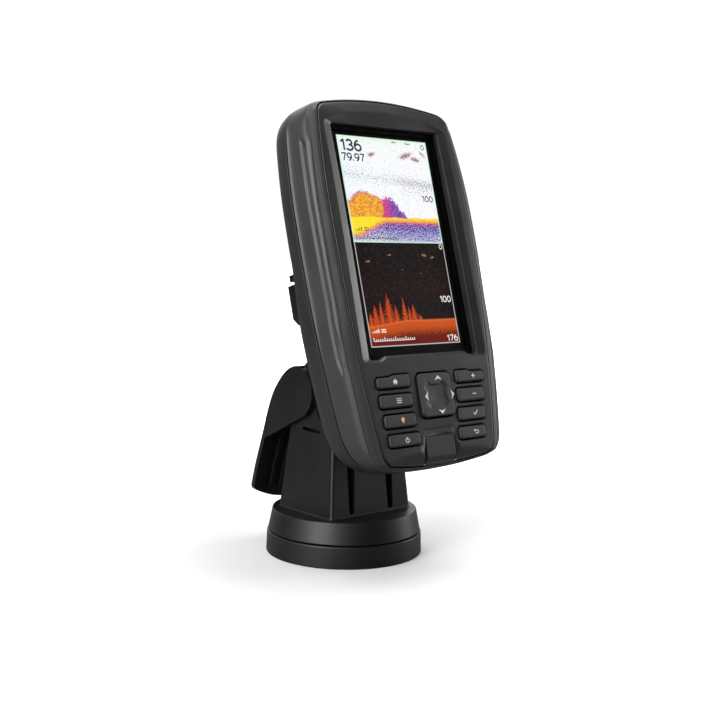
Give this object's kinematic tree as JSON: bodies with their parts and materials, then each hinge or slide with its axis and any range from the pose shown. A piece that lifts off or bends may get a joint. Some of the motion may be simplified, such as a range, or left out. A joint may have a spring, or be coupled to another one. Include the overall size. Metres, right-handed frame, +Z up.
{
  "type": "fish finder",
  "caption": "Handheld-shaped portrait fish finder: a flared grey case with a tall display and keypad, held by a quick release cradle on a tilting, swivelling black stand with a cam lever.",
  "frame": {"origin": "centre of the underside of the round base", "axes": "+Z up, the screen faces -Y and leans back 16.2 degrees, +X is to the right of a person reading the screen"},
  "size_m": [0.098, 0.1103, 0.2106],
  "materials": {
    "case_grey": "fine grained moulded housing plastic, charcoal grey",
    "case_dark": "smooth dark moulded plastic",
    "stand_black": "near black glass filled nylon, light grain",
    "key_rubber": "soft touch dark grey key rubber",
    "seal_rubber": "black silicone",
    "glass": "clear window, polished",
    "display": "lit colour display film",
    "steel": "plain bright steel",
    "board": "green circuit board",
    "ceramic": "unglazed ceramic patch",
    "ribbon": "amber flexible film",
    "membrane": "white breathable membrane"
  },
  "bodies": {
    "base": {"base_plate": "stand_black", "swivel_bolt": "steel"},
    "post": {"swivel_post": "stand_black", "swivel_washer": "steel", "tilt_pin": "steel", "friction_washer_left": "steel", "friction_washer_right": "steel"},
    "lever": {"tilt_lever": "stand_black"},
    "cradle": {"cradle": "stand_black", "power_socket": "case_dark", "transducer_socket": "case_dark", "cradle_connector": "case_dark", "latch_pin": "steel", "latch_spring": "steel"},
    "latch": {"release_latch": "stand_black"},
    "head": {"front_bezel": "case_grey", "mid_housing": "case_grey", "rear_cover": "case_grey", "case_screw_1": "steel", "case_screw_2": "steel", "case_screw_3": "steel", "case_screw_4": "steel", "case_screw_5": "steel", "case_screw_6": "steel", "housing_gasket": "seal_rubber", "vent_membrane": "membrane", "window_glass": "glass", "window_gasket": "seal_rubber", "lcd_panel": "display", "backlight_unit": "steel", "main_board": "board", "keypad_board": "board", "key_mat": "seal_rubber", "gps_antenna": "ceramic", "buzzer": "case_dark", "shield_can": "steel", "head_connector": "case_dark", "card_socket": "steel", "display_ribbon": "ribbon", "keypad_ribbon": "ribbon", "card_door_pin": "steel"},
    "key_home_body": {"key_home": "key_rubber"},
    "key_menu_body": {"key_menu": "key_rubber"},
    "key_mark_body": {"key_mark": "key_rubber"},
    "key_power_body": {"key_power": "key_rubber"},
    "key_plus_body": {"key_plus": "key_rubber"},
    "key_minus_body": {"key_minus": "key_rubber"},
    "key_select_body": {"key_select": "key_rubber"},
    "key_back_body": {"key_back": "key_rubber"},
    "dpad_gimbal": {"dpad_pivot": "case_dark"},
    "dpad": {"dpad_cap": "key_rubber"},
    "door": {"card_door": "case_grey"}
  },
  "joints": [
    {"name": "base_swivel", "type": "hinge", "parent": "base", "child": "post", "pos_m": [0, 0, 0.0105], "axis": [0, 0, 1], "range_deg": [-170, 170]},
    {"name": "cam_lever_lift", "type": "hinge", "parent": "post", "child": "lever", "pos_m": [0, 0.008, 0.077], "axis": [1, 0, 0], "range_deg": [0, 60]},
    {"name": "cradle_tilt", "type": "hinge", "parent": "post", "child": "cradle", "pos_m": [0, 0.008, 0.077], "axis": [-1, 0, 0], "range_deg": [-15, 25]},
    {"name": "cradle_latch_pull", "type": "hinge", "parent": "cradle", "child": "latch", "pos_m": [0, 0.00367, 0.12315], "axis": [-1, 0, 0], "range_deg": [0, 10], "stiffness_Nm_per_rad": 0.2, "deforming": ["latch_spring"]},
    {"name": "head_release", "type": "slide", "parent": "cradle", "child": "head", "axis": [0, 0.279, 0.9603], "range_m": [0, 0.045]},
    {"name": "key_home_press", "type": "slide", "parent": "head", "child": "key_home_body", "axis": [0, 0.9603, -0.279], "range_m": [0, 0.0008], "stiffness_N_per_m": 300},
    {"name": "key_menu_press", "type": "slide", "parent": "head", "child": "key_menu_body", "axis": [0, 0.9603, -0.279], "range_m": [0, 0.0008], "stiffness_N_per_m": 300},
    {"name": "key_mark_press", "type": "slide", "parent": "head", "child": "key_mark_body", "axis": [0, 0.9603, -0.279], "range_m": [0, 0.0008], "stiffness_N_per_m": 300},
    {"name": "key_power_press", "type": "slide", "parent": "head", "child": "key_power_body", "axis": [0, 0.9603, -0.279], "range_m": [0, 0.0008], "stiffness_N_per_m": 300},
    {"name": "key_plus_press", "type": "slide", "parent": "head", "child": "key_plus_body", "axis": [0, 0.9603, -0.279], "range_m": [0, 0.0008], "stiffness_N_per_m": 300},
    {"name": "key_minus_press", "type": "slide", "parent": "head", "child": "key_minus_body", "axis": [0, 0.9603, -0.279], "range_m": [0, 0.0008], "stiffness_N_per_m": 300},
    {"name": "key_select_press", "type": "slide", "parent": "head", "child": "key_select_body", "axis": [0, 0.9603, -0.279], "range_m": [0, 0.0008], "stiffness_N_per_m": 300},
    {"name": "key_back_press", "type": "slide", "parent": "head", "child": "key_back_body", "axis": [0, 0.9603, -0.279], "range_m": [0, 0.0008], "stiffness_N_per_m": 300},
    {"name": "dpad_pitch", "type": "hinge", "parent": "head", "child": "dpad_gimbal", "pos_m": [0.0011, -0.05462, 0.08021], "axis": [1, 0, 0], "range_deg": [-3, 3], "stiffness_Nm_per_rad": 0.05},
    {"name": "dpad_roll", "type": "hinge", "parent": "dpad_gimbal", "child": "dpad", "pos_m": [0.0011, -0.05462, 0.08021], "axis": [0, 0.279, 0.9603], "range_deg": [-3, 3], "stiffness_Nm_per_rad": 0.05},
    {"name": "card_door_hinge", "type": "hinge", "parent": "head", "child": "door", "pos_m": [0.0002, -0.0639, 0.05239], "axis": [1, 0, 0], "range_deg": [0, 95]}
  ]
}
